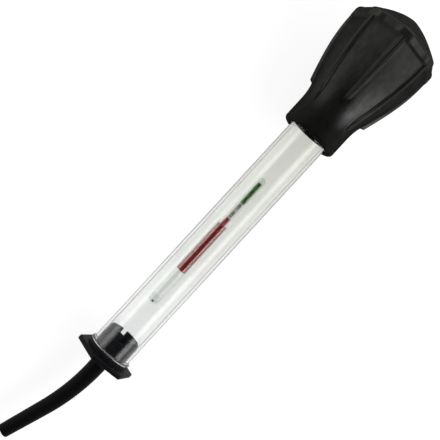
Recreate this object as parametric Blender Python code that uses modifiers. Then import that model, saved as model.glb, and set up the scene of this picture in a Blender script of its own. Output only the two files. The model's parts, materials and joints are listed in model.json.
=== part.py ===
"""Bulb hydrometer for battery acid, lying on a table.

A rubber squeeze bulb grips the top of a clear barrel. A rubber stopper with a castellated crown closes
the other end and carries a bent nozzle. A weighted float with a coloured scale lies in the barrel.
Each piece is drawn about its own Z axis, which runs from the nozzle to the bulb, and the whole
assembly is then laid down so that the flange and the bulb's shoulder rest on Z = 0.
Lengths are in metres.
"""
import math

import bpy
import numpy as np
from mathutils import Vector

# Fits
SEAT_GAP = 0.0003
MERGE_DISTANCE = 0.00001

# Barrel: a clear tube with a flared rim at its lower end, which is at Z = 0
BARREL_OD = 0.022
BARREL_WALL = 0.0015
BARREL_LENGTH = 0.1665
RIM_HEIGHT = 0.0009
RIM_PROUD = 0.0011
RIM_COVE = 0.0017
BARREL_EDGE_ROUND = 0.0004

# Squeeze bulb: neck, ribbed and flattened body, shoulder and dome
NECK_GRIP = 0.0215
NECK_WALL = 0.0041
NECK_LENGTH = 0.0115
NECK_FLARE_LENGTH = 0.010
FLARE_POWER = 1.5
LIP_ROUND = 0.0019
MOUTH_CHAMFER = 0.0006
RIB_COUNT = 8
RIB_LENGTH = 0.0375
RIB_HEIGHT = 0.00165
RIB_END_HEIGHT = 0.00105
RIB_START_RADIUS = 0.0183
RIB_END_RADIUS = 0.0254
RIB_STEP = 0.0007
RIB_CREST_ANGLE = math.radians(3.6)
RIB_FLANK_ANGLE = math.radians(1.4)
RIB_PHASE = math.radians(-11.8)
SHOULDER_RADIUS = 0.0257
SHOULDER_STEP = 0.0011
SHOULDER_LENGTH = 0.0029
SHOULDER_ROUND = 0.0024
DOME_HEIGHT = 0.0137
DOME_POWER = 1.4
BULB_WALL = 0.0024
CAVITY_LEAD = 0.0025

# Stopper: plug with a hollow crown, collar, hexagonal flange and a socket for the nozzle
PLUG_LENGTH = 0.01225
PLUG_TAPER = 0.0003
PLUG_ROUND = 0.0012
CROWN_WALL = 0.0026
CROWN_WEB = 0.002
SLOT_PAIRS = 2
SLOT_WIDTH = 0.0029
SLOT_DEPTH = 0.00375
SLOT_PHASE = math.radians(-3.5)
COLLAR_OD = 0.0236
COLLAR_HEIGHT = 0.0022
COLLAR_ROUND = 0.0004
FLANGE_ACROSS_FLATS = 0.0294
FLANGE_THICKNESS = 0.00245
FLANGE_ROUND = 0.0005
SOCKET_DEPTH = 0.0065

# Nozzle: tapered rubber spout with one gentle bend
NOZZLE_ROOT_OD = 0.0092
NOZZLE_TIP_OD = 0.0071
NOZZLE_WALL = 0.0018
NOZZLE_STRAIGHT = 0.0052
NOZZLE_TAIL = 0.0231
NOZZLE_TIP_CHAMFER = 0.0006
BEND_RADIUS = 0.100
BEND_ANGLE = math.radians(19.0)

# Float: weighted body, narrow stem, rolled scale cards
FLOAT_LIFT = 0.0188
FLOAT_BODY_OD = 0.0068
FLOAT_STEM_OD = 0.0044
FLOAT_BODY_LENGTH = 0.053
FLOAT_TAPER_LENGTH = 0.002
FLOAT_STEM_LENGTH = 0.0276
FLOAT_WALL = 0.0004
CARD_THICKNESS = 0.00025
BODY_CARD_LENGTH = 0.0308
STEM_SCALE_LENGTH = 0.0265
SEAL_HEAD = 0.0009
SEAL_SPIGOT = 0.0014
SHOT_DIAMETER = 0.0013
RESIN_DEPTH = 0.0036

# Facets
BARREL_STEPS = 48
FLOAT_STEPS = 32
RIB_SECTOR_STEPS = 8
NOZZLE_SIDE_RESOLUTION = 6
ARC_STEPS = 4
EDGE_ARC_STEPS = 2

# Sizes that follow from the ones above
BARREL_RADIUS = BARREL_OD / 2
BORE_RADIUS = BARREL_RADIUS - BARREL_WALL
NECK_BORE_RADIUS = BARREL_RADIUS + SEAT_GAP
NECK_RADIUS = NECK_BORE_RADIUS + NECK_WALL
RIM_TOP_Z = RIM_HEIGHT + RIM_COVE
MOUTH_Z = BARREL_LENGTH - NECK_GRIP
NECK_FLARE_Z = MOUTH_Z + NECK_LENGTH
RIB_START_Z = NECK_FLARE_Z + NECK_FLARE_LENGTH
RIB_END_Z = RIB_START_Z + RIB_LENGTH
RIB_SECTOR = 2 * math.pi / RIB_COUNT
RIB_CREST_EDGE = RIB_CREST_ANGLE / 2
RIB_FOOT = RIB_CREST_EDGE + RIB_FLANK_ANGLE
SHOULDER_Z = RIB_END_Z + SHOULDER_STEP
SHOULDER_END_Z = SHOULDER_Z + SHOULDER_LENGTH
PLUG_RADIUS = BORE_RADIUS - SEAT_GAP
COLLAR_RADIUS = COLLAR_OD / 2
COLLAR_TOP_Z = -SEAT_GAP
FLANGE_TOP_Z = COLLAR_TOP_Z - COLLAR_HEIGHT
FLANGE_BOTTOM_Z = FLANGE_TOP_Z - FLANGE_THICKNESS
CROWN_TOP_Z = COLLAR_TOP_Z + PLUG_LENGTH
CROWN_RADIUS = PLUG_RADIUS - PLUG_TAPER - CROWN_WALL
SOCKET_RADIUS = NOZZLE_ROOT_OD / 2 + SEAT_GAP
SOCKET_TOP_Z = FLANGE_BOTTOM_Z + SOCKET_DEPTH
CROWN_FLOOR_Z = SOCKET_TOP_Z + CROWN_WEB
NOZZLE_BORE_RADIUS = NOZZLE_ROOT_OD / 2 - NOZZLE_WALL
FLOAT_BODY_RADIUS = FLOAT_BODY_OD / 2
FLOAT_STEM_RADIUS = FLOAT_STEM_OD / 2
FLOAT_STEM_Z = FLOAT_BODY_LENGTH + FLOAT_TAPER_LENGTH
FLOAT_TOP_Z = FLOAT_STEM_Z + FLOAT_STEM_LENGTH
FLOAT_DROP = BORE_RADIUS - SEAT_GAP - FLOAT_BODY_RADIUS
FLOAT_Z = CROWN_TOP_Z + FLOAT_LIFT


def remove_all_objects():
    for old in list(bpy.data.objects):
        bpy.data.objects.remove(old, do_unlink=True)


def make_collection(name):
    collection = bpy.data.collections.new(name)
    bpy.context.scene.collection.children.link(collection)
    return collection


def make_material(name, colour, roughness, metallic=0.0, transmission=0.0, ior=1.5):
    material = bpy.data.materials.new(name)
    material.use_nodes = True
    shader = material.node_tree.nodes["Principled BSDF"]
    shader.inputs["Base Color"].default_value = (*colour, 1.0)
    shader.inputs["Roughness"].default_value = roughness
    shader.inputs["Metallic"].default_value = metallic
    shader.inputs["Transmission Weight"].default_value = transmission
    shader.inputs["IOR"].default_value = ior
    return material


def make_empty(name, parent=None):
    empty = bpy.data.objects.new(name, None)
    PARTS.objects.link(empty)
    empty.parent = parent
    return empty


def add_piece(name, mesh, material, parent):
    """Put a mesh in the assembly as a named piece."""
    piece = bpy.data.objects.new(name, mesh)
    PARTS.objects.link(piece)
    piece.parent = parent
    mesh.materials.append(material)
    return piece


def make_cutter(piece, parent):
    """Keep an object as a cutting tool: drawn as wire, never rendered."""
    for collection in list(piece.users_collection):
        collection.objects.unlink(piece)
    CUTTERS.objects.link(piece)
    piece.parent = parent
    piece.hide_render = True
    piece.display_type = "WIRE"
    return piece


def arc(centre_r, centre_z, radius, start, end, steps=ARC_STEPS):
    """Points on an arc in the (radius, height) plane, angles in degrees from outward, up positive."""
    angles = np.radians(np.linspace(start, end, steps + 1))
    return [(centre_r + radius * math.cos(a), centre_z + radius * math.sin(a)) for a in angles]


def turned_mesh(name, outline, closed, steps):
    """Turn an outline of (radius, height) points about Z. The outer side runs from top to bottom."""
    mesh = bpy.data.meshes.new(name)
    points = [(radius, 0.0, height) for radius, height in outline]
    edges = [(i, i + 1) for i in range(len(points) - 1)]
    if closed:
        edges.append((len(points) - 1, 0))
    mesh.from_pydata(points, edges, [])
    holder = bpy.data.objects.new(name + "_outline", mesh)
    bpy.context.scene.collection.objects.link(holder)
    screw = holder.modifiers.new("turn", "SCREW")
    screw.steps = steps
    screw.render_steps = steps
    screw.use_merge_vertices = True
    screw.merge_threshold = MERGE_DISTANCE
    screw.use_smooth_shade = True
    bpy.context.view_layer.update()
    evaluated = holder.evaluated_get(bpy.context.evaluated_depsgraph_get())
    turned = bpy.data.meshes.new_from_object(evaluated)
    turned.name = name
    bpy.data.objects.remove(holder, do_unlink=True)
    turned.set_sharp_from_angle(angle=math.radians(40.0))
    return turned


def cut(piece, tool, operation="DIFFERENCE"):
    boolean = piece.modifiers.new(tool.name, "BOOLEAN")
    boolean.operation = operation
    boolean.object = tool
    boolean.solver = "EXACT"


def build_barrel(parent):
    """Clear tube, open at both ends, with a flared rim where it sits on the stopper's collar."""
    rim_radius = BARREL_RADIUS + RIM_PROUD
    rim_round = RIM_HEIGHT / 2
    edge = BARREL_EDGE_ROUND
    outline = arc(BARREL_RADIUS - edge, BARREL_LENGTH - edge, edge, 90, 0, EDGE_ARC_STEPS)
    for angle in np.linspace(0.0, math.pi / 2, ARC_STEPS + 1)[:-1]:
        outline.append((rim_radius - RIM_PROUD * math.cos(angle), RIM_TOP_Z - RIM_COVE * math.sin(angle)))
    outline += arc(rim_radius - rim_round, rim_round, rim_round, 60, -90)
    outline += arc(BORE_RADIUS + edge, edge, edge, 270, 180, EDGE_ARC_STEPS)
    outline += arc(BORE_RADIUS + edge, BARREL_LENGTH - edge, edge, 180, 90, EDGE_ARC_STEPS)
    mesh = turned_mesh("barrel", outline, True, BARREL_STEPS)
    add_piece("barrel", mesh, CLEAR_PLASTIC, parent)


def along_ribs(z):
    return min(max((z - RIB_START_Z) / RIB_LENGTH, 0.0), 1.0)


def crest_radius(z):
    """The ribs' crest line: a quarter sine from the neck out to the shoulder."""
    return RIB_START_RADIUS + (RIB_END_RADIUS - RIB_START_RADIUS) * math.sin(along_ribs(z) * math.pi / 2)


def rib_height(z):
    """How far the panels lie below the ribs: deepest at the neck."""
    return RIB_HEIGHT + (RIB_END_HEIGHT - RIB_HEIGHT) * along_ribs(z)


def cavity_radius(z):
    return crest_radius(z) - RIB_HEIGHT - BULB_WALL


def dome_points(edge_radius, edge_z, height, steps=5):
    """A dome between a cone and a paraboloid, from its apex on the axis down to its edge."""
    shares = np.linspace(0.0, 1.0, steps + 1)
    return [(edge_radius * share, edge_z + height * (1 - share ** DOME_POWER)) for share in shares]


def bulb_outline():
    """From the dome's apex down the outside to the mouth, then up the inside to the axis."""
    dome_slope = math.atan(DOME_POWER * DOME_HEIGHT / (SHOULDER_RADIUS - SHOULDER_ROUND))
    shoulder_arc = arc(SHOULDER_RADIUS - SHOULDER_ROUND, SHOULDER_END_Z, SHOULDER_ROUND,
                       90 - math.degrees(dome_slope), 0)
    dome_edge_radius, dome_edge_z = shoulder_arc[0]
    outline = dome_points(dome_edge_radius, dome_edge_z, DOME_HEIGHT)[:-1]
    outline += shoulder_arc
    outline.append((SHOULDER_RADIUS, SHOULDER_Z))
    rib_stations = np.linspace(RIB_END_Z, RIB_START_Z + RIB_STEP, 8)
    outline += [(crest_radius(z), z) for z in rib_stations]
    neck_end_radius = RIB_START_RADIUS - RIB_HEIGHT
    for share in np.linspace(1.0, 0.0, 4):
        flare = (neck_end_radius - NECK_RADIUS) * share ** FLARE_POWER
        outline.append((NECK_RADIUS + flare, NECK_FLARE_Z + NECK_FLARE_LENGTH * share))
    outline += arc(NECK_RADIUS - LIP_ROUND, MOUTH_Z + LIP_ROUND, LIP_ROUND, 0, -90)
    outline.append((NECK_BORE_RADIUS + MOUTH_CHAMFER, MOUTH_Z))
    outline.append((NECK_BORE_RADIUS, MOUTH_Z + MOUTH_CHAMFER))
    bore_end_z = BARREL_LENGTH + SEAT_GAP
    outline.append((NECK_BORE_RADIUS, bore_end_z))
    cavity_start_z = max(bore_end_z, RIB_START_Z) + CAVITY_LEAD
    outline += [(cavity_radius(z), z) for z in np.linspace(cavity_start_z, RIB_END_Z, 5)]
    inner_edge_radius = cavity_radius(RIB_END_Z)
    inner_height = dome_edge_z + DOME_HEIGHT - BULB_WALL - SHOULDER_END_Z
    outline += dome_points(inner_edge_radius, SHOULDER_END_Z, inner_height)[::-1]
    return outline


def panel_flatness(radius, z):
    """How far the round bulb turns into an eight-sided one: none at the neck, full at the shoulder."""
    along = min((z - NECK_FLARE_Z) / (RIB_END_Z - NECK_FLARE_Z), 1.0)
    dome_fade = min(radius / cavity_radius(RIB_END_Z), 1.0)
    return dome_fade * math.sqrt(along)


def raise_ribs(mesh):
    """Gather the turned steps at the ribs, sink the panels between them and flatten these.

    Every second rib runs out slowly along the neck's flare; the others begin bluntly above it.
    """
    step = RIB_SECTOR / RIB_SECTOR_STEPS
    even = [0.0, step, 2 * step, RIB_SECTOR / 2]
    gathered = [0.0, RIB_CREST_EDGE, RIB_FOOT, RIB_SECTOR / 2]
    margin = RIB_STEP / 10
    for vertex in mesh.vertices:
        x, y, z = vertex.co
        radius = math.hypot(x, y)
        if radius < MERGE_DISTANCE:
            continue
        turn = math.atan2(y, x)
        rib_turn = round(turn / RIB_SECTOR) * RIB_SECTOR
        from_rib = float(np.interp(abs(turn - rib_turn), even, gathered))
        above_neck = z > RIB_START_Z + margin
        outside = radius > crest_radius(z) - RIB_HEIGHT - BULB_WALL / 2
        on_flare = z > NECK_FLARE_Z + margin and radius > NECK_RADIUS
        runs_out = round(rib_turn / RIB_SECTOR) % 2 == 1
        down_flank = min(max((from_rib - RIB_CREST_EDGE) / RIB_FLANK_ANGLE, 0.0), 1.0)
        if outside and above_neck and z < RIB_END_Z + margin:
            radius -= rib_height(z) * down_flank
        elif on_flare and not above_neck and runs_out:
            radius += RIB_HEIGHT * (1 - down_flank) * (z - NECK_FLARE_Z) / NECK_FLARE_LENGTH
        if from_rib > RIB_FOOT and (above_neck or on_flare):
            chord = math.cos(RIB_SECTOR / 2 - RIB_FOOT) / math.cos(RIB_SECTOR / 2 - from_rib)
            radius *= 1 - panel_flatness(radius, z) * (1 - chord)
        turn = rib_turn + math.copysign(from_rib, turn - rib_turn)
        vertex.co = (radius * math.cos(turn), radius * math.sin(turn), z)


def build_bulb(parent):
    """Moulded rubber bulb, open at its mouth, whose neck grips the barrel."""
    steps = RIB_COUNT * RIB_SECTOR_STEPS
    mesh = turned_mesh("squeeze_bulb", bulb_outline(), False, steps)
    raise_ribs(mesh)
    mesh.set_sharp_from_angle(angle=math.radians(40.0))
    bulb = add_piece("squeeze_bulb", mesh, BULB_RUBBER, parent)
    bulb.rotation_euler.z = RIB_PHASE


def build_stopper(parent):
    """Plug, collar and hexagonal flange in one moulding, bored for the nozzle, with a slotted crown."""
    plug_top_radius = PLUG_RADIUS - PLUG_TAPER
    plug_outline = [(0.0, CROWN_TOP_Z)]
    plug_outline += arc(plug_top_radius - PLUG_ROUND, CROWN_TOP_Z - PLUG_ROUND, PLUG_ROUND, 90, 0)
    flange_middle_z = (FLANGE_TOP_Z + FLANGE_BOTTOM_Z) / 2
    plug_outline.append((PLUG_RADIUS, COLLAR_TOP_Z))
    plug_outline += arc(COLLAR_RADIUS - COLLAR_ROUND, COLLAR_TOP_Z - COLLAR_ROUND, COLLAR_ROUND, 90, 0,
                        EDGE_ARC_STEPS)
    plug_outline += [(COLLAR_RADIUS, flange_middle_z), (0.0, flange_middle_z)]
    stopper = add_piece("stopper", turned_mesh("stopper", plug_outline, False, BARREL_STEPS),
                        STOPPER_RUBBER, parent)

    flange_corner_radius = FLANGE_ACROSS_FLATS / 2 / math.cos(math.pi / 6)
    bpy.ops.mesh.primitive_cylinder_add(vertices=6, radius=flange_corner_radius, depth=FLANGE_THICKNESS,
                                        location=(0, 0, flange_middle_z))
    flange = make_cutter(bpy.context.object, parent)
    flange.name = "flange_hexagon"
    rounding = flange.modifiers.new("rounded_edges", "BEVEL")
    rounding.width = FLANGE_ROUND
    rounding.segments = 2
    cut(stopper, flange, "UNION")

    over = FLANGE_THICKNESS
    bore_outline = [(0.0, CROWN_TOP_Z + over), (CROWN_RADIUS, CROWN_TOP_Z + over),
                    (CROWN_RADIUS, CROWN_FLOOR_Z), (NOZZLE_BORE_RADIUS, CROWN_FLOOR_Z),
                    (NOZZLE_BORE_RADIUS, SOCKET_TOP_Z), (SOCKET_RADIUS, SOCKET_TOP_Z),
                    (SOCKET_RADIUS, FLANGE_BOTTOM_Z - over), (0.0, FLANGE_BOTTOM_Z - over)]
    bore_mesh = turned_mesh("stopper_bore", bore_outline, False, BARREL_STEPS)
    bore = make_cutter(bpy.data.objects.new("stopper_bore", bore_mesh), parent)
    cut(stopper, bore)

    slot_height = SLOT_DEPTH + over
    for pair in range(SLOT_PAIRS):
        bpy.ops.mesh.primitive_cube_add(size=1.0)
        slot = make_cutter(bpy.context.object, parent)
        slot.name = f"crown_slot_{pair + 1}"
        slot.scale = (BARREL_OD, SLOT_WIDTH, slot_height)
        slot.location.z = CROWN_TOP_Z - SLOT_DEPTH + slot_height / 2
        slot.rotation_euler.z = SLOT_PHASE + pair * math.pi / SLOT_PAIRS
        cut(stopper, slot)


def nozzle_route():
    """Points down the spout: straight out of the socket, round the bend towards +Y, then straight."""
    root_z = SOCKET_TOP_Z - SEAT_GAP
    bend_z = FLANGE_BOTTOM_Z - NOZZLE_STRAIGHT
    route = [Vector((0, 0, root_z)), Vector((0, 0, FLANGE_BOTTOM_Z))]
    for angle in np.linspace(0.0, BEND_ANGLE, 9):
        side = BEND_RADIUS * (1 - math.cos(angle))
        route.append(Vector((0, side, bend_z - BEND_RADIUS * math.sin(angle))))
    heading = Vector((0, math.sin(BEND_ANGLE), -math.cos(BEND_ANGLE)))
    bend_end = route[-1]
    route += [bend_end + heading * (NOZZLE_TAIL - NOZZLE_TIP_CHAMFER), bend_end + heading * NOZZLE_TAIL]
    return route


def build_nozzle(parent):
    """Tapered tube along the route, with its bore left open at both ends."""
    route = nozzle_route()
    steps_along = [(b - a).length for a, b in zip(route, route[1:])]
    travelled = np.concatenate([[0.0], np.cumsum(steps_along)])
    radii = np.interp(travelled, [0.0, travelled[-1]], [NOZZLE_ROOT_OD / 2, NOZZLE_TIP_OD / 2])
    radii[-1] -= NOZZLE_TIP_CHAMFER
    curve = bpy.data.curves.new("nozzle_route", "CURVE")
    curve.dimensions = "3D"
    curve.bevel_depth = NOZZLE_ROOT_OD / 2
    curve.bevel_resolution = NOZZLE_SIDE_RESOLUTION
    spline = curve.splines.new("POLY")
    spline.points.add(len(route) - 1)
    for point, place, radius in zip(spline.points, route, radii):
        point.co = (*place, 1.0)
        point.radius = radius / curve.bevel_depth
    spline.use_smooth = True
    nozzle = bpy.data.objects.new("nozzle", curve)
    PARTS.objects.link(nozzle)
    nozzle.parent = parent
    curve.materials.append(NOZZLE_RUBBER)
    wall = nozzle.modifiers.new("wall", "SOLIDIFY")
    wall.thickness = NOZZLE_WALL
    wall.offset = -1.0


def build_float(parent):
    """The weighted float, drawn from its tip at Z = 0 up its stem."""
    inner_body = FLOAT_BODY_RADIUS - FLOAT_WALL
    inner_stem = FLOAT_STEM_RADIUS - FLOAT_WALL

    envelope_outline = [(FLOAT_STEM_RADIUS, FLOAT_TOP_Z), (FLOAT_STEM_RADIUS, FLOAT_STEM_Z)]
    envelope_outline.append((FLOAT_BODY_RADIUS, FLOAT_BODY_LENGTH))
    envelope_outline += arc(0.0, FLOAT_BODY_RADIUS, FLOAT_BODY_RADIUS, 0, -90, 7)
    envelope_outline += arc(0.0, FLOAT_BODY_RADIUS, inner_body, -90, 0, 7)
    envelope_outline.append((inner_body, FLOAT_BODY_LENGTH))
    envelope_outline.append((inner_stem, FLOAT_STEM_Z))
    envelope_outline.append((inner_stem, FLOAT_TOP_Z))
    envelope_outline.append((FLOAT_STEM_RADIUS, FLOAT_TOP_Z))
    mesh = turned_mesh("float_envelope", envelope_outline, False, FLOAT_STEPS)
    add_piece("float_envelope", mesh, FLOAT_GLASS, parent)

    spigot_radius = inner_stem - SEAT_GAP
    seal_base_z = FLOAT_TOP_Z + SEAT_GAP
    seal_outline = dome_points(FLOAT_STEM_RADIUS, seal_base_z, SEAL_HEAD)
    seal_outline += [(spigot_radius, seal_base_z), (spigot_radius, FLOAT_TOP_Z - SEAL_SPIGOT),
                     (0.0, FLOAT_TOP_Z - SEAL_SPIGOT)]
    mesh = turned_mesh("float_tip_seal", seal_outline, False, FLOAT_STEPS)
    add_piece("float_tip_seal", mesh, FLOAT_GLASS_TIP, parent)

    body_card_radius = inner_body - SEAT_GAP
    body_card_top = FLOAT_BODY_LENGTH - SEAT_GAP
    mesh = rolled_card("float_body_card", body_card_radius, body_card_top - BODY_CARD_LENGTH, body_card_top)
    add_piece("float_body_card", mesh, RED_CARD, parent)

    scale_top = FLOAT_TOP_Z - SEAL_SPIGOT - SEAT_GAP
    mesh = rolled_card("float_stem_scale", spigot_radius, scale_top - STEM_SCALE_LENGTH, scale_top)
    add_piece("float_stem_scale", mesh, SCALE_PAPER, parent)

    shot_radius = SHOT_DIAMETER / 2
    shot_z = FLOAT_WALL + SEAT_GAP + shot_radius
    mesh = turned_mesh("ballast_shot", arc(0.0, shot_z, shot_radius, 90, -90, 10), False, FLOAT_STEPS // 2)
    add_piece("ballast_shot", mesh, LEAD, parent)

    resin_radius = inner_body - SEAT_GAP
    resin_foot_angle = math.degrees(math.asin((FLOAT_BODY_RADIUS - shot_z) / resin_radius))
    resin_top_z = shot_z + RESIN_DEPTH
    resin_outline = [(0.0, resin_top_z), (resin_radius, resin_top_z)]
    resin_outline += arc(0.0, FLOAT_BODY_RADIUS, resin_radius, 0, -resin_foot_angle)
    resin_outline += arc(0.0, shot_z, shot_radius + SEAT_GAP, 0, 90)
    mesh = turned_mesh("ballast_resin", resin_outline, False, FLOAT_STEPS)
    add_piece("ballast_resin", mesh, CLEAR_RESIN, parent)


def rolled_card(name, radius, bottom, top):
    """A card rolled to line the inside of the float."""
    inner = radius - CARD_THICKNESS
    outline = [(radius, top), (radius, bottom), (inner, bottom), (inner, top)]
    return turned_mesh(name, outline, True, FLOAT_STEPS)


def lay_down(axis_empty):
    """Tip the assembly until flange and shoulder touch Z = 0, with the middle of its box at X = Y = 0."""
    flange_apothem = FLANGE_ACROSS_FLATS / 2
    flange_contact_z = FLANGE_BOTTOM_Z + FLANGE_ROUND
    from_rib_foot = max(abs(math.remainder(RIB_PHASE, RIB_SECTOR)) - RIB_FOOT, 0.0)
    shoulder_reach = SHOULDER_RADIUS * math.cos(from_rib_foot)
    rise = math.atan2(shoulder_reach - flange_apothem, SHOULDER_END_Z - flange_contact_z)
    axis_empty.rotation_euler.y = math.pi / 2 - rise
    bpy.context.view_layer.update()
    depsgraph = bpy.context.evaluated_depsgraph_get()
    corners = []
    for piece in PARTS.objects:
        if piece.type == "EMPTY":
            continue
        mesh = bpy.data.meshes.new_from_object(piece.evaluated_get(depsgraph))
        corners += [piece.matrix_world @ vertex.co for vertex in mesh.vertices]
        bpy.data.meshes.remove(mesh)
    low = Vector(min(corner[i] for corner in corners) for i in range(3))
    high = Vector(max(corner[i] for corner in corners) for i in range(3))
    middle = (low + high) / 2
    axis_empty.location = (-middle.x, -middle.y, -low.z)
    bpy.context.view_layer.update()


remove_all_objects()
PARTS = make_collection("hydrometer")
CUTTERS = make_collection("cutters")

BULB_RUBBER = make_material("bulb_rubber", (0.012, 0.012, 0.013), 0.45)
STOPPER_RUBBER = make_material("stopper_rubber", (0.010, 0.010, 0.011), 0.5)
NOZZLE_RUBBER = make_material("nozzle_rubber", (0.011, 0.011, 0.012), 0.4)
CLEAR_PLASTIC = make_material("clear_plastic", (0.96, 0.97, 0.97), 0.04, transmission=1.0, ior=1.49)
FLOAT_GLASS = make_material("float_glass", (0.97, 0.98, 0.98), 0.02, transmission=1.0, ior=1.5)
FLOAT_GLASS_TIP = make_material("float_glass_tip", (0.95, 0.97, 0.97), 0.05, transmission=1.0, ior=1.5)
RED_CARD = make_material("red_card", (0.35, 0.012, 0.012), 0.7)
SCALE_PAPER = make_material("scale_paper", (0.80, 0.79, 0.75), 0.75)
LEAD = make_material("lead", (0.06, 0.06, 0.065), 0.5, metallic=1.0)
CLEAR_RESIN = make_material("clear_resin", (0.93, 0.93, 0.90), 0.1, transmission=1.0, ior=1.5)

AXIS = make_empty("barrel_axis")
FLOAT_AXIS = make_empty("float_axis", AXIS)
FLOAT_AXIS.location = (FLOAT_DROP, 0.0, FLOAT_Z)

build_barrel(AXIS)
build_bulb(AXIS)
build_stopper(AXIS)
build_nozzle(AXIS)
build_float(FLOAT_AXIS)
lay_down(AXIS)
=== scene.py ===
"""Looks of the bulb hydrometer.

Each piece is drawn upright in millimetres about its own axis, nozzle end down, and is then laid on the
table where its solid lies. Heights are counted from the barrel's lower rim, or from the float's tip.
"""
import json
import math

import bmesh
import bpy
from mathutils import Matrix, Vector


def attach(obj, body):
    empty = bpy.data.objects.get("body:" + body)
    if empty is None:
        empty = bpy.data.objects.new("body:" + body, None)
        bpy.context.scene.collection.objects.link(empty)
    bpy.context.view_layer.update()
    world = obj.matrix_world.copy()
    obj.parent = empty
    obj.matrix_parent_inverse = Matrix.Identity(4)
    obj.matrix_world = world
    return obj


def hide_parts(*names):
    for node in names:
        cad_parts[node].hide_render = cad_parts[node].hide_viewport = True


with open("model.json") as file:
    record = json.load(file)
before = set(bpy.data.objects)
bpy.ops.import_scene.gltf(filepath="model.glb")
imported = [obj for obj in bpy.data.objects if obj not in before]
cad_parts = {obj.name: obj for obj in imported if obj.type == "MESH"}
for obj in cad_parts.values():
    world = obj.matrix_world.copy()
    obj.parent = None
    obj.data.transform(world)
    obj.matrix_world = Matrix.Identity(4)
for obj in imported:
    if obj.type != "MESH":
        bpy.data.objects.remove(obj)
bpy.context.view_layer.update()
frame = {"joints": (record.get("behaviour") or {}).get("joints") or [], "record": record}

MM = 0.001

# Gap between pieces that seat on each other
SEAT_GAP = 0.3

# How near a vertex has to be to a drawn line, height or turn to count as on it
NEAR = 0.02
NEAR_HEIGHT = 0.1
NEAR_TURN = 0.002
NEAR_RING = 0.05
MERGE_DISTANCE = 0.001
SLIVER_WIDTH = 0.01

# Barrel
BARREL_RADIUS = 11.0
BORE_RADIUS = 9.5
BARREL_TOP = 166.5
BARREL_END_ROUND = 0.35
RIM_RADIUS = 12.1
RIM_LIP = 0.9
RIM_TOP = 2.6
RIM_ROUND = 0.4

# Squeeze bulb
MOUTH = 145.0
MOUTH_CHAMFER = 0.6
NECK_RADIUS = 15.4
NECK_BORE_RADIUS = 11.3
NECK_BORE_END = BARREL_TOP + SEAT_GAP
LIP_ROUND = 1.9
FLARE_START = 156.5
FLARE_POWER = 2.5
RIB_START = 166.5
FLARE_LENGTH = RIB_START - FLARE_START
RIB_STEP = 0.7
RIB_END = 204.0
RIB_HEIGHT = 1.65
RIB_END_HEIGHT = 1.05
RIB_START_RADIUS = 18.3
RIB_END_RADIUS = 25.4
RIB_COUNT = 8
RIB_SECTOR = math.tau / RIB_COUNT
RIB_CREST_EDGE = math.radians(1.8)
RIB_FOOT = math.radians(3.2)
RIB_PHASE = math.radians(-11.8)
RIB_ROUND = 0.34
RUN_OUT_LEAD = 4.0
CORNER_SPREAD = math.radians(10.0)
SHOULDER_START = 205.1
SHOULDER_END = 208.0
SHOULDER_RADIUS = 25.6
SHOULDER_ROUND = 2.4
DOME_HEIGHT = 13.7
DOME_POWER = 1.4
BULB_WALL = 2.4
CAVITY_LEAD = 2.5

# Stopper
PLUG_RADIUS = 9.2
CROWN_RADIUS = 8.9
CROWN_TOP = 11.95
CROWN_BORE = 6.3
CROWN_FLOOR = 3.55
CROWN_ROUND = 1.1
CROWN_BORE_ROUND = 0.4
SLOT_WIDTH = 2.9
SLOT_DEPTH = 3.75
SLOT_PHASE = math.radians(-3.5)
SLOT_CUT_LENGTH = 24.0
COLLAR_RADIUS = 11.8
COLLAR_TOP = -0.3
COLLAR_ROUND = 0.4
FLANGE_APOTHEM = 14.7
FLANGE_TOP = -2.5
FLANGE_BOTTOM = -4.95
FLANGE_MIDDLE = (FLANGE_TOP + FLANGE_BOTTOM) / 2
FLANGE_ROUND = 0.5
SOCKET_RADIUS = 4.9
SOCKET_TOP = 1.55
SOCKET_CUT_PAST = 2.0
SOCKET_CUT_SHORT = 0.05

# Nozzle
NOZZLE_ROOT_RADIUS = 4.6
NOZZLE_TIP_RADIUS = 3.55
NOZZLE_WALL = 1.8
NOZZLE_START = 1.25
NOZZLE_STRAIGHT = 5.2
NOZZLE_TAIL = 23.1
NOZZLE_TIP_ROUND = 0.7
NOZZLE_BORE_ROUND = 0.3
BEND_RADIUS = 100.0
BEND_ANGLE = math.radians(19.0)

# Float
FLOAT_LIFT = 30.75
FLOAT_DROP = 5.8
FLOAT_RADIUS = 3.4
STEM_RADIUS = 2.2
FLOAT_WALL = 0.4
FLOAT_BORE = FLOAT_RADIUS - FLOAT_WALL
STEM_BORE = STEM_RADIUS - FLOAT_WALL
BODY_TOP = 53.0
STEM_START = 55.0
STEM_TOP = 82.6
FLOAT_SHOULDER_ROUND = 0.5
SEAL_START = 81.2
SEAL_HEAD = 0.9
SEAL_ROUND = 0.2
SHOT_RADIUS = 0.65
SHOT_HEIGHT = 1.35
RESIN_TOP = 4.95

# Rolled cards in the float, with 24 degrees of lap, and the ink on them
CARD_RADIUS = 2.95
CARD_START = 21.9
SCALE_RADIUS = 1.5
SCALE_START = 53.0
SCALE_END = 80.9
CARD_THICKNESS = 0.12
CARD_TURN = math.radians(384.0)
CARD_TUCK = 0.24
INK_THICKNESS = 0.03
INK_GAP = 0.02
INK_SPREAD = 0.1
BODY_NUMBERS = ("1.10", "1.12", "1.14", "1.16", "1.18")
BODY_NUMBERS_START = 25.4
BODY_NUMBERS_END = 49.4
STEM_NUMBERS = (("1.20", 59.8), ("1.22", 64.7), ("1.24", 69.6), ("1.26", 74.1), ("1.28", 78.6))

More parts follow.
